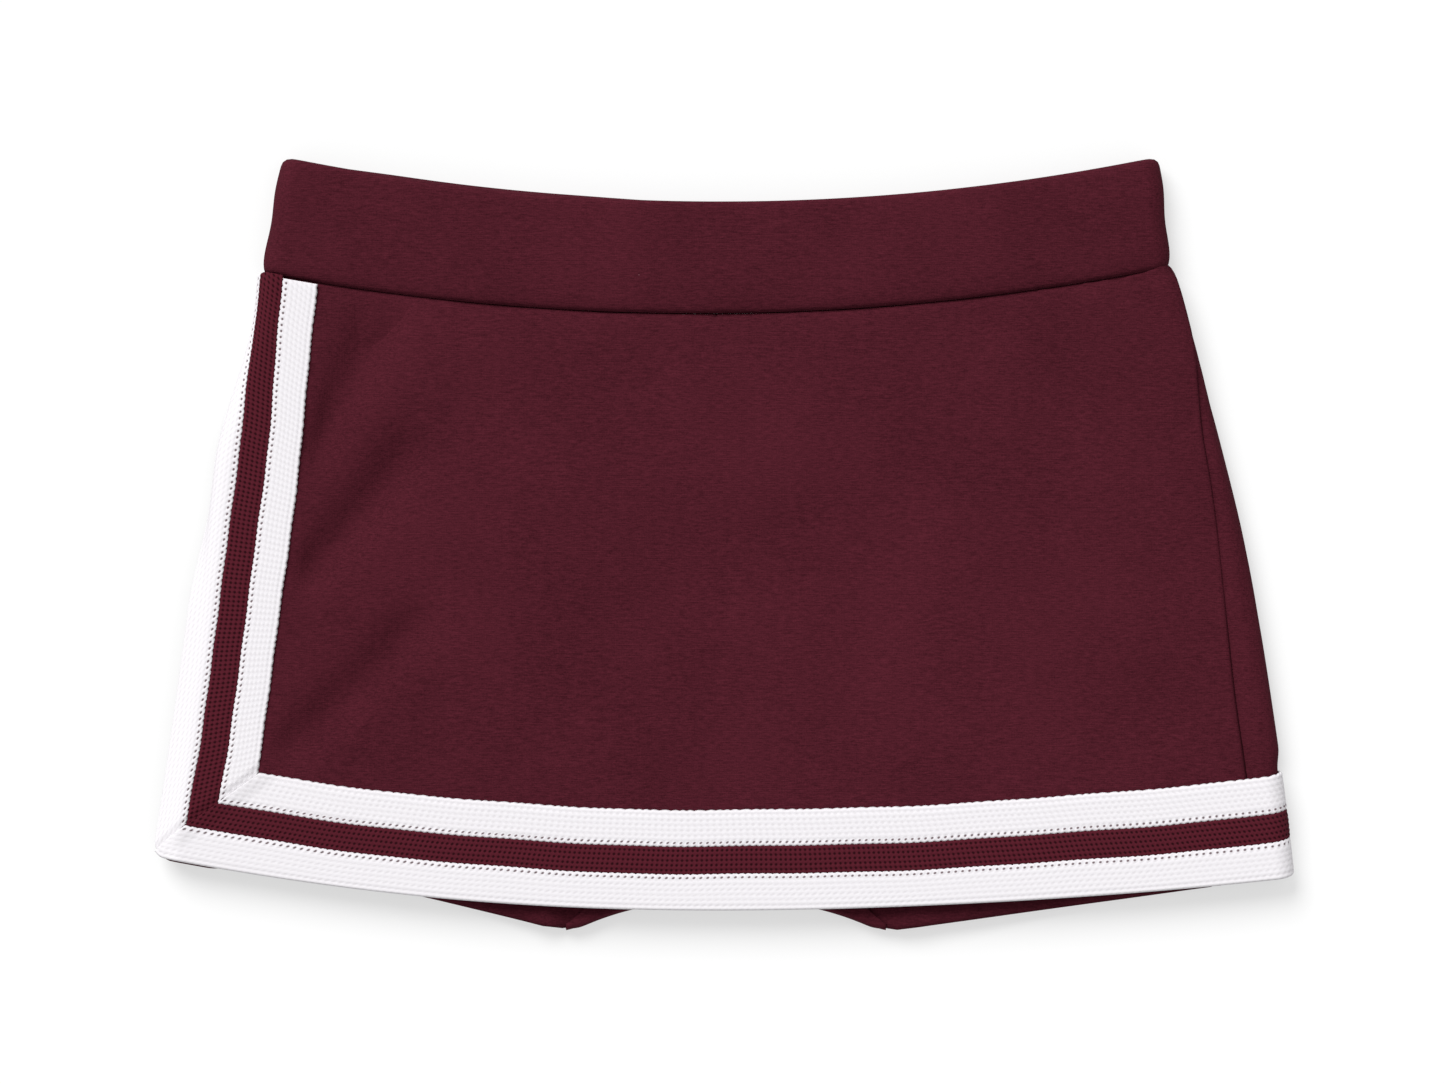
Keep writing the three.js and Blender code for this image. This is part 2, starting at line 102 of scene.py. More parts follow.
table_mesh = bmesh.new()
bmesh.ops.create_grid(table_mesh, x_segments=1, y_segments=1, size=2.5)
table_data = bpy.data.meshes.new("table_top")
table_mesh.to_mesh(table_data)
table_mesh.free()
table = bpy.data.objects.new("table_top", table_data)
scene.collection.objects.link(table)
table_white = bpy.data.materials.new("table_white")
table_white.use_nodes = True
table_shader = table_white.node_tree.nodes["Principled BSDF"]
table_shader.inputs["Base Color"].default_value = (0.32, 0.32, 0.32, 1)
table_shader.inputs["Roughness"].default_value = 1
table_shader.inputs["Specular IOR Level"].default_value = 0
table_shader.inputs["Emission Color"].default_value = (1, 1, 1, 1)
table_shader.inputs["Emission Strength"].default_value = 0.55
table_data.materials.append(table_white)


# ---- Maroon double knit -----------------------------------------------------
# The skirt, band and briefs are all cut from one matt polyester double knit.
# It has fine wales, a sideways streak in the yarn's dye and a few stray specks of lint.

knit_dark = (0.022, 0.0028, 0.0055)
knit_light = (0.078, 0.0118, 0.0205)
lint_color = (0.42, 0.22, 0.25)
wale_pitch = 0.95 * MM
course_pitch = 0.75 * MM


def shader_of(name, color, roughness, sheen, sheen_roughness):
    material = bpy.data.materials.new(name)
    material.use_nodes = True
    shader = material.node_tree.nodes["Principled BSDF"]
    shader.inputs["Base Color"].default_value = (*color, 1)
    shader.inputs["Roughness"].default_value = roughness
    shader.inputs["Specular IOR Level"].default_value = 0.04
    shader.inputs["Sheen Weight"].default_value = sheen
    shader.inputs["Sheen Roughness"].default_value = sheen_roughness
    return material, material.node_tree, shader


def calc(tree, operation, *values):
    node = tree.nodes.new("ShaderNodeMath")
    node.operation = operation
    for socket, value in zip(node.inputs, values):
        if isinstance(value, (int, float)):
            socket.default_value = value
        else:
            tree.links.new(value, socket)
    return node.outputs[0]


def noise(tree, where, stretch, scale, detail=3.0):
    mapping = tree.nodes.new("ShaderNodeMapping")
    mapping.inputs["Scale"].default_value = stretch
    tree.links.new(where, mapping.inputs["Vector"])
    texture = tree.nodes.new("ShaderNodeTexNoise")
    texture.inputs["Scale"].default_value = scale
    texture.inputs["Detail"].default_value = detail
    tree.links.new(mapping.outputs["Vector"], texture.inputs["Vector"])
    return texture.outputs["Fac"]


def blend_color(tree, share, color_a, color_b):
    node = tree.nodes.new("ShaderNodeMix")
    node.data_type = "RGBA"
    tree.links.new(share, node.inputs["Factor"])
    for socket, color in ((node.inputs[6], color_a), (node.inputs[7], color_b)):
        if isinstance(color, tuple):
            socket.default_value = (*color, 1)
        else:
            tree.links.new(color, socket)
    return node.outputs[2]


def raise_surface(tree, shader, height, distance, strength=1.0):
    node = tree.nodes.new("ShaderNodeBump")
    node.inputs["Distance"].default_value = distance
    node.inputs["Strength"].default_value = strength
    tree.links.new(height, node.inputs["Height"])
    tree.links.new(node.outputs["Normal"], shader.inputs["Normal"])


def spread(tree, value, low, high):
    node = tree.nodes.new("ShaderNodeMapRange")
    node.inputs["From Min"].default_value = low
    node.inputs["From Max"].default_value = high
    tree.links.new(value, node.inputs["Value"])
    return node.outputs["Result"]


def make_double_knit(name, dark, light):
    material, tree, shader = shader_of(name, dark, 0.9, 0.0, 0.4)
    where = tree.nodes.new("ShaderNodeTexCoord").outputs["Object"]
    split = tree.nodes.new("ShaderNodeSeparateXYZ")
    tree.links.new(where, split.inputs[0])
    streak = spread(tree, noise(tree, where, (330, 1900, 1900), 1.0, 4.0), 0.3, 0.7)
    patch = spread(tree, noise(tree, where, (1, 1, 1), 22.0, 4.0), 0.3, 0.7)
    grain = spread(tree, noise(tree, where, (1, 1, 1), 1900.0, 2.0), 0.3, 0.7)
    tone = calc(tree, "MULTIPLY_ADD", streak, 0.46, calc(tree, "MULTIPLY", patch, 0.18))
    tone = calc(tree, "MULTIPLY_ADD", grain, 0.34, tone)
    cloth = blend_color(tree, tone, dark, light)
    specks = tree.nodes.new("ShaderNodeTexVoronoi")
    specks.inputs["Scale"].default_value = 70.0
    tree.links.new(where, specks.inputs["Vector"])
    pick = tree.nodes.new("ShaderNodeSeparateColor")
    tree.links.new(specks.outputs["Color"], pick.inputs[0])
    near = calc(tree, "LESS_THAN", specks.outputs["Distance"], 0.013)
    lint = calc(tree, "MULTIPLY", near, calc(tree, "GREATER_THAN", pick.outputs[0], 0.72))
    cloth = blend_color(tree, calc(tree, "MULTIPLY", lint, 0.5), cloth, lint_color)
    tree.links.new(cloth, shader.inputs["Base Color"])
    wales = calc(tree, "SINE", calc(tree, "MULTIPLY", split.outputs[0], 2 * math.pi / wale_pitch))
    courses = calc(tree, "SINE", calc(tree, "MULTIPLY", split.outputs[1], 2 * math.pi / course_pitch))
    knit = calc(tree, "MULTIPLY_ADD", wales, 0.3, calc(tree, "MULTIPLY", courses, 0.3))
    knit = calc(tree, "MULTIPLY_ADD", streak, 0.9, knit)
    knit = calc(tree, "MULTIPLY_ADD", grain, 0.7, knit)
    raise_surface(tree, shader, knit, 0.05 * MM, 0.8)
    return material


double_knit = make_double_knit("maroon_double_knit", knit_dark, knit_light)


# ---- Waistband --------------------------------------------------------------
# Self cloth folded over the elastic and sewn to the skirt: two halves joined at the
# side folds. It is plump, its top corners are round, and its back edge peeks over.

band_low, band_high = (Vector(corner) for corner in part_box("waistband_front"))
thickness = band_high.z
fold_radius = thickness / 2
sag = 16.8 * MM
seam_left = band_low.x
seam_right = band_high.x
left_taper = 7.7 * MM
right_taper = 3.7 * MM
top_above_box = 1.3 * MM
top_to_seam_end = 43.6 * MM
waist_left = seam_left + left_taper
waist_right = seam_right - right_taper
band_top_y = band_high.y + top_above_box
seam_end_y = band_top_y - top_to_seam_end
seam_tilt = 2.3 * MM
band_thickness = 3.5 * MM
band_depth = 41.2 * MM
corner_radius = 3.6 * MM
back_peek = 1.1 * MM
layer_share = 0.46
turn_share = 0.08
inner_layer_from = 0.54
side_groove_width = 0.9 * MM
weld_distance = 0.01 * MM
band_cloth_thickness = 0.8 * MM


def mix(start, end, share):
    return start + (end - start) * share


def smooth(value, low, high):
    share = min(1.0, max(0.0, (value - low) / (high - low)))
    return share * share * (3 - 2 * share)


def around_tube(run, depth, left, right):
    """Section of the flattened tube: 0-1 left fold, 1-2 back, 2-4 right fold, 4-5 front, 5-6 left."""
    if 1 <= run <= 2:
        return mix(left + fold_radius, right - fold_radius, run - 1), depth
    if 4 <= run <= 5:
        return mix(right - fold_radius, left + fold_radius, run - 4), thickness - depth
    on_right = 2 < run < 4
    quarters = run - 3 if on_right else run + 2 if run < 1 else run - 4
    angle = quarters * math.pi / 2
    centre = right - fold_radius if on_right else left + fold_radius
    radius = fold_radius - depth
    return centre + radius * math.cos(angle), fold_radius + radius * math.sin(angle)


def sagging(x, left, right, left_y, right_y):
    share = (x - left) / (right - left)
    return mix(left_y, right_y, share) - sag * 4 * share * (1 - share)


def waist_seam_y(x):
    return sagging(x, seam_left, seam_right, seam_end_y, seam_end_y + seam_tilt)


def band_point(run, rise, depth):
    corner = max(0.0, 1 - (1 - rise) * band_depth / corner_radius)
    pulled_in = corner_radius * (1 - math.sqrt(1 - min(1.0, corner) ** 2)) * 0.55
    flare = 1.2 * MM * math.exp(-rise * band_depth / (9 * MM)) + 0.3 * MM * math.sin(rise * 11)
    left = mix(seam_left, waist_left, rise) + pulled_in - flare - mix(0.6, 1.3, rise) * MM
    right = mix(seam_right, waist_right, rise) - pulled_in + flare + 0.6 * MM
    x, z = around_tube(run, depth, left, right)
    share = (x - left) / (right - left)
    seam_y = waist_seam_y(mix(seam_left, seam_right, share))
    top_y = sagging(mix(waist_left, waist_right, share), waist_left, waist_right, band_top_y, band_top_y)
    return x, mix(seam_y, top_y, rise), z


def add_piece(name, mesh, material):
    data = bpy.data.meshes.new(name)
    mesh.to_mesh(data)
    mesh.free()
    data.materials.append(material)
    data.polygons.foreach_set("use_smooth", [True] * len(data.polygons))
    piece = bpy.data.objects.new(name, data)
    scene.collection.objects.link(piece)
    return piece


def cloth_grid(columns, rows, place, pattern=None):
    """A grid whose corners run 0 to 1 both ways, moved by place(s, t), with pattern(s, t) as its UV."""
    mesh = bmesh.new()
    bmesh.ops.create_grid(mesh, x_segments=columns, y_segments=rows, size=0.5)
    shares = {vert: (vert.co.x + 0.5, vert.co.y + 0.5) for vert in mesh.verts}
    if pattern:
        layer = mesh.loops.layers.uv.new("cloth")
        flat = {vert: pattern(*share) for vert, share in shares.items()}
        for face in mesh.faces:
            for loop in face.loops:
                loop[layer].uv = flat[loop.vert]
    for vert, share in shares.items():
        vert.co = place(*share)
    return mesh


def give_thickness(piece, amount):
    solid = piece.modifiers.new("cloth_thickness", "SOLIDIFY")
    solid.thickness = amount
    solid.offset = -1
    return piece


def band_section(path):
    """Rise and depth of the folded cloth: up the outer layer, over the top, down the inner one."""
    turn = band_thickness / 2 / band_depth
    if path < layer_share:
        share = path / layer_share
        rise = (1 - turn) * share
        from_seam = rise * band_depth
        seam_roll = 1.1 * MM * math.exp(-from_seam / (1.8 * MM))
        seam_roll += 0.9 * MM * math.exp(-from_seam / (6 * MM))
        crown = 0.25 * MM * (1 - math.sin(math.pi * min(1.0, rise * 1.05)) ** 0.5)
        return rise, seam_roll + crown
    if path < inner_layer_from:
        angle = (path - layer_share) / turn_share * math.pi
        rise = 1 - turn + turn * math.sin(angle)
        return rise, band_thickness / 2 * (1 - math.cos(angle)) + 0.25 * MM * math.cos(angle / 2) ** 2
    return (1 - turn) * (1 - (path - inner_layer_from) / layer_share), band_thickness


def band_place(s, t):
    run = 6 * (1 - s)
    rise, depth = band_section(t)
    x, y, z = band_point(run, rise, depth)
    side_groove = math.exp(-((run - 3) * fold_radius / side_groove_width) ** 2)
    side_groove += math.exp(-(min(run, 6 - run) * fold_radius / side_groove_width) ** 2)
    if depth < 0.5 * band_thickness:
        inward = -1 if x > 0 else 1
        x += inward * 0.5 * MM * side_groove
    wave = 0.25 * MM * math.sin(x * 46) * math.sin(rise * 3.1) + 0.12 * MM * math.sin(x * 131 + 1.3)
    z += wave * (1 if run > 3 else 0)
    if run < 3:
        peek = back_peek * smooth(rise, 0.6, 1.0) * smooth(x, -165 * MM, -120 * MM)
        y += peek * (1 - smooth(x, -60 * MM, 0))
    return x, y, z


band_mesh = cloth_grid(420, 56, band_place)
bmesh.ops.remove_doubles(band_mesh, verts=band_mesh.verts, dist=weld_distance)
waistband = give_thickness(add_piece("waistband_cloth", band_mesh, double_knit), band_cloth_thickness)
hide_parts("waistband_front", "waistband_back")
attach(waistband, "skort")


# ---- Front of the skirt -----------------------------------------------------
# One panel of the knit from the side seam to the open slit, where it turns down round
# the side. It hangs in soft diagonal valleys by the slit and puckers at the waist seam.

side_overhang = 4 * MM
skirt_top_width = 366.9 * MM
hem_width = 437.7 * MM
seam_end_to_hem_end = 221.5 * MM
slit_bow = 2.4 * MM
side_bow = 4.9 * MM
hem_tilt = 8.6 * MM
hem_skew = 1.4 * MM
slit_turn_top = 23.2 * MM
slit_turn_hem = 13.5 * MM
droop_top_degrees = 178
droop_hem_degrees = 38
back_hem_raise = 2.5 * MM
side_top_x = seam_right + side_overhang
slit_top_x = side_top_x - skirt_top_width
side_hem_x = cad_box[1][0]
slit_hem_x = side_hem_x - hem_width
hem_end_y = seam_end_y - seam_end_to_hem_end
skirt_length = 226.8 * MM
panel_depth = 1.5 * MM
cloth_thickness = 0.85 * MM
# Each soft valley: where it starts and ends, its width and its depth, width and depth, all in millimetres.
valleys = [
    ((-126, 100), (-158, 34), 8.5, 4.2),
    ((-118, 40), (-160, -12), 8.5, 4.1),
    ((-112, -24), (-164, -76), 9.0, 3.6),
    ((-96, 98), (-60, 84), 9.0, 0.9),
    ((88, 92), (128, 60), 12.0, 1.0),
    ((150, 60), (170, -30), 10.0, 1.0),
    ((-40, 20), (-20, -60), 16.0, 0.8),
    ((60, 10), (40, -70), 17.0, 0.8),
]


def slit_x(down):
    return mix(slit_top_x, slit_hem_x, down) + slit_bow * 4 * down * (1 - down)


def side_x(down):
    return mix(side_top_x, side_hem_x, down) + side_bow * 4 * down * (1 - down)


def hem_y(x):
    skew = hem_skew * math.sin(2 * math.pi * (x - slit_hem_x) / (side_hem_x - slit_hem_x))
    return sagging(x, slit_hem_x, side_hem_x, hem_end_y, hem_end_y - hem_tilt) - skew


def skirt_y(share, down):
    seam = waist_seam_y(mix(slit_top_x, side_top_x, share))
    return mix(seam, hem_y(mix(slit_hem_x, side_hem_x, share)), down)


def turned_share(down):
    return 1 - smooth(down, 0.05, 0.35)


def bend_at(down):
    return mix(slit_turn_hem, slit_turn_top, turned_share(down))


def girth(along, down, depth):
    """A point of the skirt, along from the front's slit edge, over the right fold and round to the back."""
    bend = bend_at(down)
    flat_end = side_x(down) - slit_x(down) - fold_radius
    half_turn = math.pi * fold_radius
    radius = fold_radius - depth
    if along < bend:
        past = bend - along
        droop = math.radians(mix(droop_top_degrees, droop_hem_degrees, smooth(down, 0.1, 0.6)))
        angle = min(past / fold_radius, droop)
        straight = max(0.0, past - fold_radius * droop)
        x = slit_x(down) + bend - radius * math.sin(angle) - straight * math.cos(angle)
        z = fold_radius + radius * math.cos(angle) - straight * math.sin(angle)
    elif along <= flat_end:
        x, z = slit_x(down) + along, thickness - depth
    elif along <= flat_end + half_turn:
        angle = math.pi / 2 - (along - flat_end) / fold_radius
        x = side_x(down) - fold_radius + radius * math.cos(angle)
        z = fold_radius + radius * math.sin(angle)
    else:
        x, z = side_x(down) - fold_radius - (along - flat_end - half_turn), depth
    width = side_x(down) - slit_x(down)
    share = (x - slit_x(down)) / width
    lift = back_hem_raise * down * smooth(along, flat_end, flat_end + half_turn)
    from_seam = down * skirt_length
    to_left = 1 - smooth(share * width, 2 * MM, 15 * MM)
    to_right = smooth(share * width, width - 15 * MM, width - 2 * MM)
    # Both top corners are drawn up and inwards where they meet the band.
    lift += (2.4 * to_left + 2.0 * to_right) * MM * math.exp(-from_seam / (7 * MM))
    x += 3.4 * MM * (to_left - to_right) * math.exp(-from_seam / (2.8 * MM))
    return x, skirt_y(share, down) + lift, z


def side_seam_along(down):
    """The side seam is out at the fold by the waist and moves in over the front lower down."""
    inset = (0.6 + 6.4 * smooth(down, 0.1, 0.3) + 6.8 * smooth(down, 0.25, 0.75)) * MM
    flat_end = side_x(down) - slit_x(down) - fold_radius
    if inset >= fold_radius:
        return flat_end + fold_radius - inset
    return flat_end + fold_radius * (math.pi / 2 - math.acos(1 - inset / fold_radius))


def front_relief(x, y, down, along):
    sunk = 0.0
    for start, end, width, amount in valleys:
        ax, ay = start[0] * MM, start[1] * MM
        run_x, run_y = end[0] * MM - ax, end[1] * MM - ay
        length = math.hypot(run_x, run_y)
        forward = ((x - ax) * run_x + (y - ay) * run_y) / length
        sideways = ((x - ax) * run_y - (y - ay) * run_x) / length
        reach = smooth(forward, -12 * MM, 14 * MM) * (1 - smooth(forward, length - 8 * MM, length + 16 * MM))
        bowed = sideways + 2 * MM * math.sin(forward / length * math.pi)
        sunk += amount * MM * reach * math.exp(-(bowed / (width * MM)) ** 2)
    rolling = 0.22 * math.sin(x * 41 + y * 19) * math.sin(y * 33 - x * 12 + 0.7)
    rolling += 0.12 * math.sin(x * 97 - y * 51 + 2.0) * math.sin(y * 81 + x * 33)
    from_seam = down * skirt_length
    pucker = 0.22 * math.sin(x * 650 + 2 * math.sin(x * 91)) * math.exp(-from_seam / (5 * MM))
    pucker += 0.2 * math.sin(x * 230 + 1.5 * math.sin(x * 47)) * math.exp(-from_seam / (14 * MM))
    flat_share = smooth(along, bend_at(down), bend_at(down) + 14 * MM)
    seam_roll = 1.2 * MM * math.exp(-from_seam / (1.8 * MM))
    seam_roll += 0.8 * MM * math.exp(-from_seam / (6 * MM))
    from_side = side_seam_along(down) - along
    ridge = 0.45 * MM * math.exp(-((from_side - 1.3 * MM) / (0.8 * MM)) ** 2)
    tuck = 1.2 * MM * math.exp(-max(0.0, from_side) / (0.5 * MM))
    lip_share = smooth(x, 152 * MM, 158 * MM)
    lip = 0.9 * MM * math.exp(-((from_seam - 0.9 * MM) / (0.8 * MM)) ** 2)
    lip -= 0.8 * MM * math.exp(-((from_seam - 2.7 * MM) / (0.8 * MM)) ** 2)
    beside_braid = 0.2 + 0.8 * smooth(along, 38 * MM, 48 * MM)
    waves = flat_share * (sunk * beside_braid - (rolling + pucker) * MM)
    return waves + seam_roll - ridge + tuck - lip_share * lip


def rounded_corner(from_slit, from_hem, radius=6 * MM):
    """The corner between slit and hem is turned round, not square."""
    across, up = radius - from_slit, radius - from_hem
    if across <= 0 or up <= 0:
        return from_slit, from_hem
    share = max(across, up) / math.hypot(across, up)
    return radius - across * share, radius - up * share


def front_cloth_place(s, t):
    down = 1 - 1.2 * MM / skirt_length - t * (1 - 1.6 * MM / skirt_length)
    along = mix(1.2 * MM, side_seam_along(down), s)
    peek = 1.7 * MM * smooth(along, 3 * MM, 8 * MM) * (1 - smooth(along, 24 * MM, 36 * MM))
    peek *= 1 - smooth(t, 0, 0.03)
    along, from_hem = rounded_corner(along, (1 - down) * skirt_length - peek)
    down = 1 - from_hem / skirt_length
    x, y, _ = girth(along, down, panel_depth)
    return girth(along, down, panel_depth + front_relief(x, y, down, along))


front_cloth = add_piece("skirt_front_cloth", cloth_grid(300, 170, front_cloth_place), double_knit)
give_thickness(front_cloth, cloth_thickness)
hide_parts("front_panel", "front_flap")
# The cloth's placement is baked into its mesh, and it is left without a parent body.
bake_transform(front_cloth)


# ---- Back of the skirt ------------------------------------------------------
# The same knit, cut to run across the back and round the right side to the side seam
# that shows in front, where it lies a little lower than the front panel's edge.

back_slit_shift_hem = -3 * MM
back_slit_shift_top = 0.8 * MM


def back_end_along(down):
    shift = mix(back_slit_shift_hem, back_slit_shift_top, turned_share(down))
    back_slit = slit_x(down) + bend_at(down) + shift
    flat_end = side_x(down) - slit_x(down) - fold_radius
    return flat_end + math.pi * fold_radius + side_x(down) - fold_radius - back_slit


def outermost_along(down):
    return side_x(down) - slit_x(down) - fold_radius + math.pi / 2 * fold_radius


def back_cloth_place(s, t):
    down = 1 - 1.2 * MM / skirt_length - t * (1 - 1.8 * MM / skirt_length)
    seam = side_seam_along(down)
    along = mix(seam - 1.2 * MM, back_end_along(down), s)
    x, y, _ = girth(along, down, panel_depth)
    from_side = along - seam
    below = 0.9 * MM * math.exp(-max(0.0, from_side) / (3 * MM))
    below += 0.5 * MM * (1 - smooth(from_side, -0.6 * MM, 0.6 * MM))
    wander = 0.15 * MM * (1 + math.sin(x * 43 + y * 21) * math.sin(y * 37 - x * 9))
    below += 1.1 * MM * math.exp(-down * skirt_length / (1.1 * MM)) + wander
    below += 0.3 * MM * math.exp(-((from_side - 9 * MM) / (2.2 * MM)) ** 2) * smooth(down, 0.0, 0.3)
    at_fold = math.exp(-((along - outermost_along(down)) / (11 * MM)) ** 2)
    bulge = 1.5 * MM * at_fold * smooth(down, 0.15, 0.5) * (1 - smooth(down, 0.79, 0.83))
    return girth(along, down, panel_depth + below - bulge)


back_cloth = add_piece("skirt_back_cloth", cloth_grid(260, 130, back_cloth_place), double_knit)
give_thickness(back_cloth, cloth_thickness)
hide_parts("back_panel")
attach(back_cloth, "skort")


# ---- Knitted braid ----------------------------------------------------------
# Three warp-knitted stripes, white, maroon and white, are sewn flat along the slit and the
# hem. They are ribbed lengthwise, with a row of eyelets where white meets maroon.

white_width = 13.5 * MM
maroon_width = 11.1 * MM
braid_width = 38.1 * MM
braid_thickness = 0.8 * MM
braid_face_depth = 0.35 * MM
white_ribs = 7
maroon_ribs = 6
# The pitches and the eyelets' distance from the edge are in millimetres, as the braid's UV is.
white_rib_pitch = 1.93
maroon_rib_pitch = 1.85
white_stitch_pitch = 2.6
maroon_stitch_pitch = 1.9
eyelet_from_edge = 1.15
stitch_length = white_stitch_pitch * MM
# Each stripe: its name, how far in from the garment's edge it starts and ends, and whether it is white.
stripes = [
    ("outer", 0.0, white_width, True),
    ("centre", white_width, white_width + maroon_width, False),
    ("inner", white_width + maroon_width, braid_width, True),
]
stripe_inward = {"outer": True, "centre": False, "inner": False}


def make_braid(name, base, dark, rib_pitch, stitch_pitch, eyelets, dimple_shade):
    material, tree, shader = shader_of(name, base, 0.88, 0.0, 0.5)
    across_along = tree.nodes.new("ShaderNodeSeparateXYZ")
    tree.links.new(tree.nodes.new("ShaderNodeTexCoord").outputs["UV"], across_along.inputs[0])
    across, along = across_along.outputs[0], across_along.outputs[1]
    # The dimples between ribs and stitches are darkened in the colour. This is painted shade in the hollows,
    # and the same mask also drives the bump below.
    rows = calc(tree, "COSINE", calc(tree, "MULTIPLY", across, 2 * math.pi / rib_pitch))
    staggered = calc(tree, "MULTIPLY", across, math.pi / rib_pitch)
    turns = calc(tree, "MULTIPLY_ADD", along, 2 * math.pi / stitch_pitch, staggered)
    stitches = calc(tree, "COSINE", turns)
    pit = spread(tree, calc(tree, "ADD", rows, stitches), 0.1, 1.6)
    painted_shade_and_eyelets = calc(tree, "MULTIPLY", pit, dimple_shade)
    # The eyelets show the maroon cloth under the white braid.
    if eyelets:
        cell = calc(tree, "FRACT", calc(tree, "MULTIPLY", along, 1 / stitch_pitch))
        in_cell = calc(tree, "SUBTRACT", cell, 0.5)
        in_cell = calc(tree, "MULTIPLY", in_cell, stitch_pitch * 0.75)
        from_row = calc(tree, "SUBTRACT", across, eyelet_from_edge)
        reach = calc(tree, "ADD", calc(tree, "MULTIPLY", in_cell, in_cell),
                     calc(tree, "MULTIPLY", from_row, from_row))
        hole = spread(tree, reach, 0.26, 0.06)
        painted_shade_and_eyelets = calc(tree, "MAXIMUM", painted_shade_and_eyelets, calc(tree, "MULTIPLY", hole, 0.85))
    tree.links.new(blend_color(tree, painted_shade_and_eyelets, base, dark), shader.inputs["Base Color"])
    where = tree.nodes.new("ShaderNodeTexCoord").outputs["Object"]
    fuzz = noise(tree, where, (1, 1, 1), 2400.0, 2.0)
    relief = calc(tree, "SUBTRACT", calc(tree, "MULTIPLY", fuzz, 0.5), painted_shade_and_eyelets)
    raise_surface(tree, shader, relief, 0.10 * MM, 0.8)
    return material


# Each braid's dark colour is painted shade for its dimples. In the white braid it is also the maroon seen
# through the eyelets.
white_knit = make_braid("white_knit_braid", (0.60, 0.583, 0.604), (0.05, 0.010, 0.016),
                        white_rib_pitch, white_stitch_pitch, True, 0.10)
maroon_knit = make_braid("maroon_knit_braid", (0.062, 0.0082, 0.0145), (0.013, 0.0018, 0.0032),
                         maroon_rib_pitch, maroon_stitch_pitch, False, 0.95)


def knit_height(u, v, is_white):
    """Height of the knit, u along the stripe and v in from its edge beside the other colour."""
    width = white_width if is_white else maroon_width
    rib = abs(math.sin(math.pi * v / (width / (white_ribs if is_white else maroon_ribs))))
    height = (0.15 if is_white else 0.26) * rib ** 0.7
    if is_white:
        height += 0.03 * math.cos(2 * math.pi * u / stitch_length + math.pi * int(v / width * white_ribs))
        across, along = v - eyelet_from_edge * MM, (u / stitch_length) % 1 - 0.5
        reach = (across / (0.55 * MM)) ** 2 + (along * stitch_length / (0.6 * MM)) ** 2
        height -= 0.3 * math.exp(-reach)
        height -= 0.18 * math.exp(-((v - width + 1.6 * MM) / (0.35 * MM)) ** 2)
        height -= 0.15 * math.exp(-v / (0.3 * MM)) + 0.55 * math.exp(-(width - v) / (0.35 * MM))
    else:
        turns = 2 * math.pi * u / (maroon_stitch_pitch * MM)
        height += 0.09 * math.cos(turns + math.pi * int(v / width * maroon_ribs))
        height -= 0.45 * math.exp(-min(v, width - v) / (0.9 * MM))
    return height * MM


def stripe_piece(name, node_names, columns, rows, is_white, place, flat, upright, flapping):
    """A stripe from place(u, v), shares along and across it: upright stripes run up the grid."""
    length = flat[0]

    def point(s, t):
        u, v = (t, s) if upright else (s, t)
        return place(u, v)

    def pattern(s, t):
        u, v = (t, s) if upright else (s, t)
        inward = stripe_inward[name.split("_")[-1]]
        across = (1 - v if inward else v) * flat[1]
        return across / MM, u * length / MM

    material = white_knit if is_white else maroon_knit
    piece = add_piece(name, cloth_grid(columns, rows, point, pattern), material)
    give_thickness(piece, braid_thickness)
    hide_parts(*node_names)
    if flapping:
        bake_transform(piece)
    else:
        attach(piece, "skort")


def edge_height(stripe, u, v_share):
    """Height of the named stripe's knit at a share across it, counted away from the garment's edge."""
    place, start, end, is_white = stripe
    width = end - start
    v = (1 - v_share if stripe_inward[place] else v_share) * width
    return knit_height(u, v, is_white)


def scallop(stripe, u, v_share):
    """How far a white stripe's looped edge reaches over the maroon, and how its sewn edge waves."""
    place, _, _, is_white = stripe
    if not is_white:
        return 0.0
    near = v_share if place == "outer" else 1 - v_share
    reach = 0.5 * MM * abs(math.sin(math.pi * u / stitch_length)) * smooth(near, 0.92, 1.0)
    if place == "outer":
        return reach
    sewn = abs(math.sin(math.pi * (u + 0.7 * MM * math.sin(u * 410)) / (3.4 * MM)))
    return 0.35 * MM * (sewn - 0.5) * smooth(v_share, 0.9, 1.0) - reach


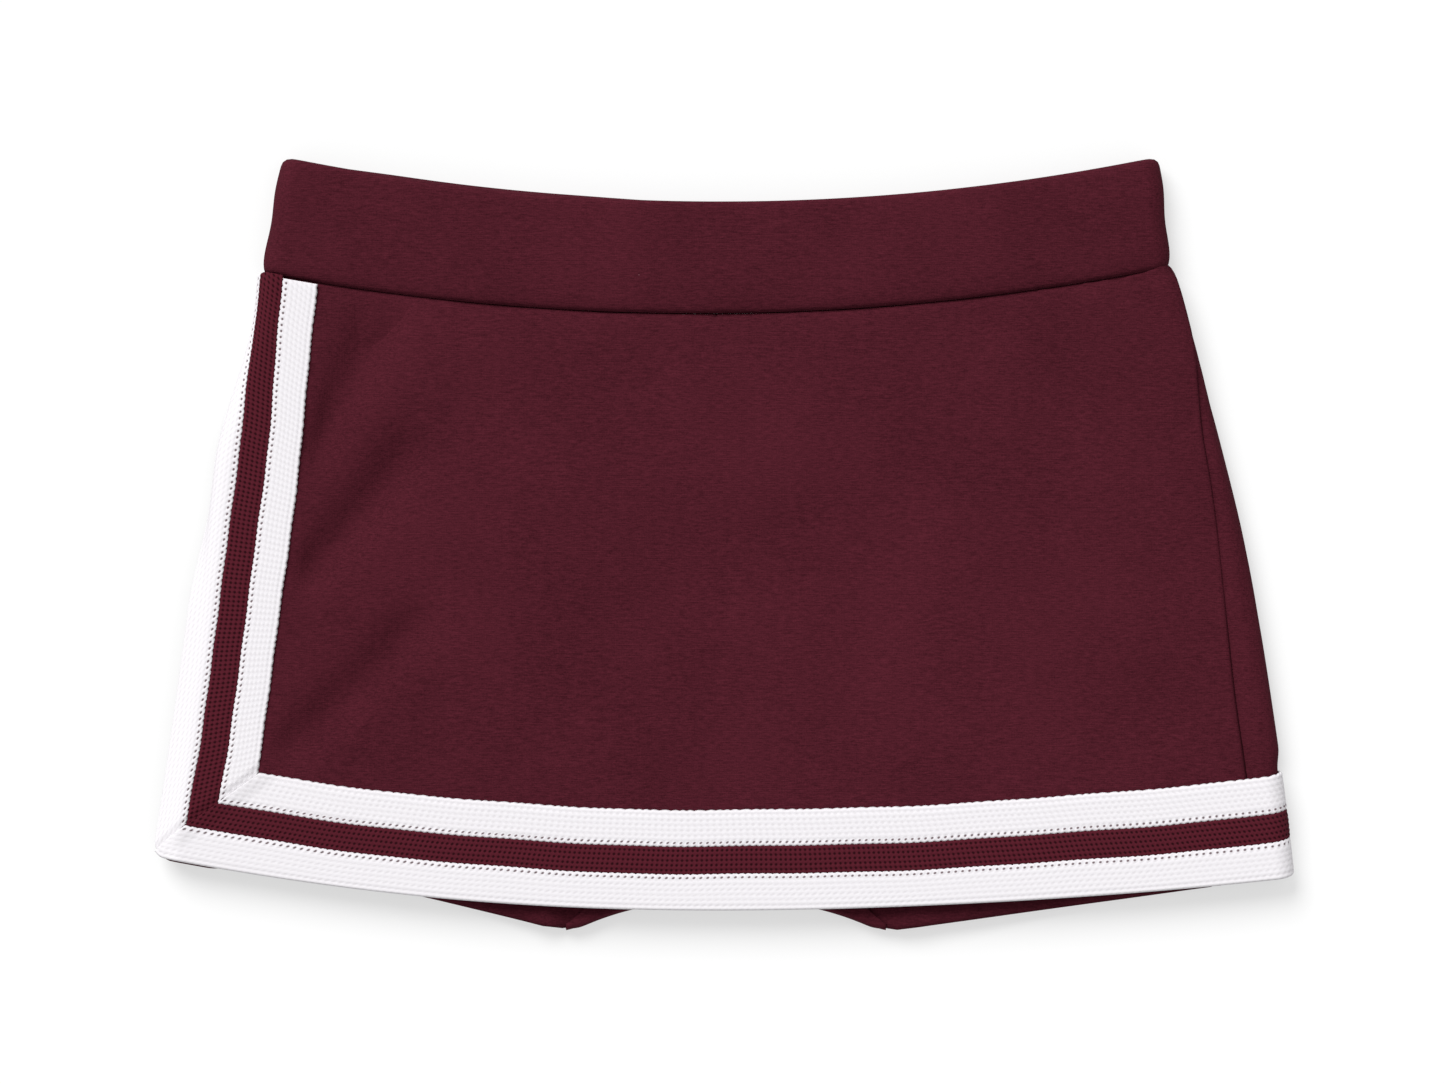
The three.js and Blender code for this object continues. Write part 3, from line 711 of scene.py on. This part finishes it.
for stripe in stripes:
    place_name, start, end, is_white = stripe

    def slit_place(u, v, stripe=stripe):
        edge = mix(stripe[1], stripe[2], v)
        foot = 1 - (edge - 0.8 * MM) / skirt_length
        down = mix(foot, 1.0 * MM / skirt_length, u)
        metres = u * skirt_length
        height = edge_height(stripe, metres, v)
        head = 0.8 * MM * math.exp(-down * skirt_length / (1.0 * MM))
        if stripe[0] != "inner":
            near_seam = 1 - smooth(down * skirt_length, 0, 9 * MM)
            down -= 1.3 * MM / skirt_length * near_seam * smooth(edge, 12 * MM, 18 * MM)
        sink = 0.6 * MM * smooth(down * skirt_length + edge, skirt_length - 5 * MM, skirt_length - 1 * MM)
        at_inner = smooth(edge, 25 * MM, 38 * MM)
        drift = (0.8 + 1.2 * math.exp(-((down - 0.27) / 0.15) ** 2)) * (1 - 0.8 * at_inner)
        drift += 0.1 * math.sin(down * 57) - 0.9 * smooth(down, 0.35, 0.6) * at_inner
        drift += 0.9 * math.exp(-(down / 0.1) ** 2)
        drift *= smooth(edge, 0, 9 * MM) * (1 - smooth(down, 0.8, 0.9)) * MM
        edge += scallop(stripe, metres, v) + drift
        edge, from_hem = rounded_corner(edge, (1 - down) * skirt_length)
        return girth(edge, 1 - from_hem / skirt_length, braid_face_depth - height + head + sink)

    def hem_place(u, v, stripe=stripe):
        from_hem = mix(stripe[1], stripe[2], v)
        down = 1 - from_hem / skirt_length
        begin = from_hem - 0.2 * MM
        along = mix(begin, outermost_along(down), u)
        height = edge_height(stripe, along, v)
        raised = 0.8 * MM * (1 - smooth(along - begin, 0, 9 * MM))
        wave = 0.18 * MM * math.sin(along * 60) + 0.1 * MM * math.sin(along * 143 + 1)
        reach = scallop(stripe, along, v) + wave * smooth(from_hem, 0, 6 * MM)
        along, from_hem = rounded_corner(along, from_hem + reach)
        return girth(along, 1 - from_hem / skirt_length, braid_face_depth - height - raised)

    def back_hem_place(u, v, stripe=stripe):
        from_hem = mix(stripe[1], stripe[2], v)
        down = 1 - from_hem / skirt_length
        along = mix(outermost_along(down), back_end_along(down) - from_hem, u)
        height = edge_height(stripe, along, v)
        from_hem += scallop(stripe, along, v)
        return girth(along, 1 - from_hem / skirt_length, braid_face_depth - height)

    def back_slit_place(u, v, stripe=stripe):
        edge = mix(stripe[1], stripe[2], 1 - v)
        foot = 1 - (edge - 0.3 * MM) / skirt_length
        down = mix(foot, 1.2 * MM / skirt_length, u)
        metres = u * skirt_length
        height = edge_height(stripe, metres, 1 - v)
        return girth(back_end_along(down) - edge, down, braid_face_depth - height)

    across_count = 27 if is_white else 25
    slit_nodes = [f"flap_slit_braid_{place_name}"]
    if place_name != "outer":
        slit_nodes.append(f"front_slit_braid_{place_name}")
    flat_across = end - start
    stripe_piece(f"front_slit_{place_name}", slit_nodes, across_count, 500, is_white, slit_place,
                 (0.2268, flat_across), True, True)
    hem_nodes = [f"flap_hem_braid_{place_name}", f"front_hem_braid_{place_name}"]
    stripe_piece(f"front_hem_{place_name}", hem_nodes, 940, across_count, is_white, hem_place,
                 (0.424, flat_across), False, True)
    stripe_piece(f"back_hem_{place_name}", [f"back_hem_braid_{place_name}"], 480, across_count // 2,
                 is_white, back_hem_place, (0.436, flat_across), False, False)
    stripe_piece(f"back_slit_{place_name}", [f"back_slit_braid_{place_name}"], across_count // 2, 260,
                 is_white, back_slit_place, (0.2268, flat_across), True, False)


# ---- Briefs -----------------------------------------------------------------
# Two halves of the same knit inside the skirt, sewn into the waist seam. Their leg hems
# hang just below the skirt on either side of a diamond gusset.

briefs_left = -195.1 * MM
briefs_hem_width = 388 * MM
briefs_right = briefs_left + briefs_hem_width
briefs_cloth_thickness = 0.65 * MM
left_leg_slope = 0.243
right_leg_slope = 0.138
crotch_arch_power = 2.4
leg_corner_x = 60 * MM
leg_corner_y = -146.757 * MM
crotch_y = -134.057 * MM
lining_depth = 3.0 * MM
leg_sink = 4.2 * MM
gusset_rise = 30.5 * MM
gusset_top_y = crotch_y + gusset_rise
briefs_middle = 1.106 * MM


def crotch_arch_y(from_middle):
    share = min(1.0, abs(from_middle) / leg_corner_x)
    return crotch_y + (leg_corner_y - crotch_y) * share ** crotch_arch_power


def leg_corner_lift(from_middle):
    return 1.3 * MM * math.exp(-((abs(from_middle) - leg_corner_x) / (3.2 * MM)) ** 2)


def briefs_foot_y(x):
    from_middle = x - briefs_middle
    slope = left_leg_slope if from_middle < 0 else right_leg_slope
    outside = leg_corner_y + slope * max(0.0, abs(from_middle) - leg_corner_x)
    foot = outside if abs(from_middle) > leg_corner_x else crotch_arch_y(from_middle)
    return foot + leg_corner_lift(from_middle)


def leg_depth(down):
    return lining_depth + leg_sink * smooth(down, 0.02, 0.14)


def briefs_place(run, down):
    run = run % 6
    left = mix(seam_left, briefs_left, down)
    right = mix(seam_right, briefs_right, down)
    on_front = smooth(run, 3.0, 4.0) * (1 - smooth(run, 5.0, 6.0))
    x, z = around_tube(run, mix(lining_depth, leg_depth(down), on_front), left, right)
    share = (x - left) / (right - left)
    head = waist_seam_y(mix(seam_left, seam_right, share)) - 0.3 * MM
    foot = briefs_foot_y(around_tube(run, lining_depth, briefs_left, briefs_right)[0])
    y = mix(head, foot, down)
    from_hem = y - foot
    hem_edge = 0.5 * MM * math.exp(-(from_hem / (1.2 * MM)) ** 2)
    stitched = 0.3 * MM * math.exp(-((from_hem - 9 * MM) / (0.7 * MM)) ** 2)
    if 4 <= run <= 5:
        z += 0.5 * MM * math.sin(x * 88) * smooth(down, 0.7, 1) - hem_edge - stitched
        from_corner = abs(x - briefs_middle) - leg_corner_x
        z -= 2.6 * MM * smooth(down, 0.8, 1) * math.exp(-((from_corner - 2.2 * MM) / (2.4 * MM)) ** 2)
        z += 1.6 * MM * smooth(down, 0.85, 1) * math.exp(-((from_corner - 9 * MM) / (5 * MM)) ** 2)
    return x, y, z


def add_briefs(name, first_run, last_run, nodes):
    mesh = cloth_grid(150, 90, lambda s, t: briefs_place(mix(first_run, last_run, s), 1 - t))
    piece = give_thickness(add_piece(name, mesh, double_knit), briefs_cloth_thickness)
    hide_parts(*nodes)
    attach(piece, "skort")


# The halves meet at the middle of the front, run 4.5, and of the back, run 1.5 or 7.5.
add_briefs("briefs_left_half", 7.499, 4.501, ["briefs_back_left", "briefs_front_left"])
add_briefs("briefs_right_half", 4.499, 1.501, ["briefs_back_right", "briefs_front_right"])


def gusset_place(s, t):
    x = mix(-leg_corner_x, leg_corner_x, s) * 1.015
    share = min(1.0, abs(x) / leg_corner_x)
    back_z = lining_depth - 0.7 * MM
    front_z = thickness - leg_depth(1) + (1.3 - 0.9 * share ** 6) * MM
    radius = (front_z - back_z) / 2
    arch = crotch_arch_y(x) + leg_corner_lift(x) + 1.4 * MM
    top = mix(gusset_top_y, arch + 0.8 * MM, share)
    if t < 0.3:
        y, z = mix(top, arch, t / 0.3), back_z
    elif t > 0.7:
        y, z = mix(arch, top, (t - 0.7) / 0.3), front_z
    else:
        angle = (t - 0.3) / 0.4 * math.pi
        y, z = arch - 2 * MM * math.sin(angle), back_z + radius - radius * math.cos(angle)
    return x + briefs_middle, y, z


gusset_mesh = cloth_grid(100, 60, gusset_place)
gusset = give_thickness(add_piece("gusset_cloth", gusset_mesh, double_knit), briefs_cloth_thickness)
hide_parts("briefs_gusset")
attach(gusset, "skort")


# ---- Elastic and care label -------------------------------------------------
# A ribbed white elastic runs right round inside the band, and a blank satin label is
# caught in the waist seam at the middle of the back, face inwards.

elastic_width = 38
elastic_rib_pitch = 2.4
elastic_thickness = 0.9 * MM
elastic_below_cloth = 1.0 * MM
label_half_width = 17
label_drop = 37 * MM
label_level = 4.3 * MM
label_thickness = 0.2 * MM
elastic_white, _, _ = shader_of("elastic_webbing", (0.72, 0.71, 0.69), 0.8, 0.05, 0.5)


def elastic_place(s, t):
    rise = mix(0.038, 0.955, t)
    rib = 0.12 * MM * abs(math.sin(t * elastic_width * math.pi / elastic_rib_pitch))
    cloth_depth = band_section(layer_share * rise)[1]
    return band_point(6 * (1 - s), rise, cloth_depth + elastic_below_cloth - rib)


elastic_mesh = cloth_grid(260, 96, elastic_place)
bmesh.ops.remove_doubles(elastic_mesh, verts=elastic_mesh.verts, dist=weld_distance)
elastic = give_thickness(add_piece("waist_elastic_webbing", elastic_mesh, elastic_white), elastic_thickness)
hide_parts("waist_elastic")
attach(elastic, "skort")

label_satin, _, _ = shader_of("satin_label", (0.78, 0.77, 0.75), 0.45, 0.1, 0.4)


def label_place(s, t):
    x = mix(-label_half_width, label_half_width, s) * MM + briefs_middle
    y = waist_seam_y(x) - label_drop * (1 - t)
    curl = 0.8 * MM * (1 - t) ** 2 * (1 + 0.4 * math.sin(s * math.pi))
    return x, y, label_level + curl


label_mesh = cloth_grid(16, 18, label_place)
label = give_thickness(add_piece("blank_care_label", label_mesh, label_satin), label_thickness)
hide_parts("care_label")
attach(label, "skort")
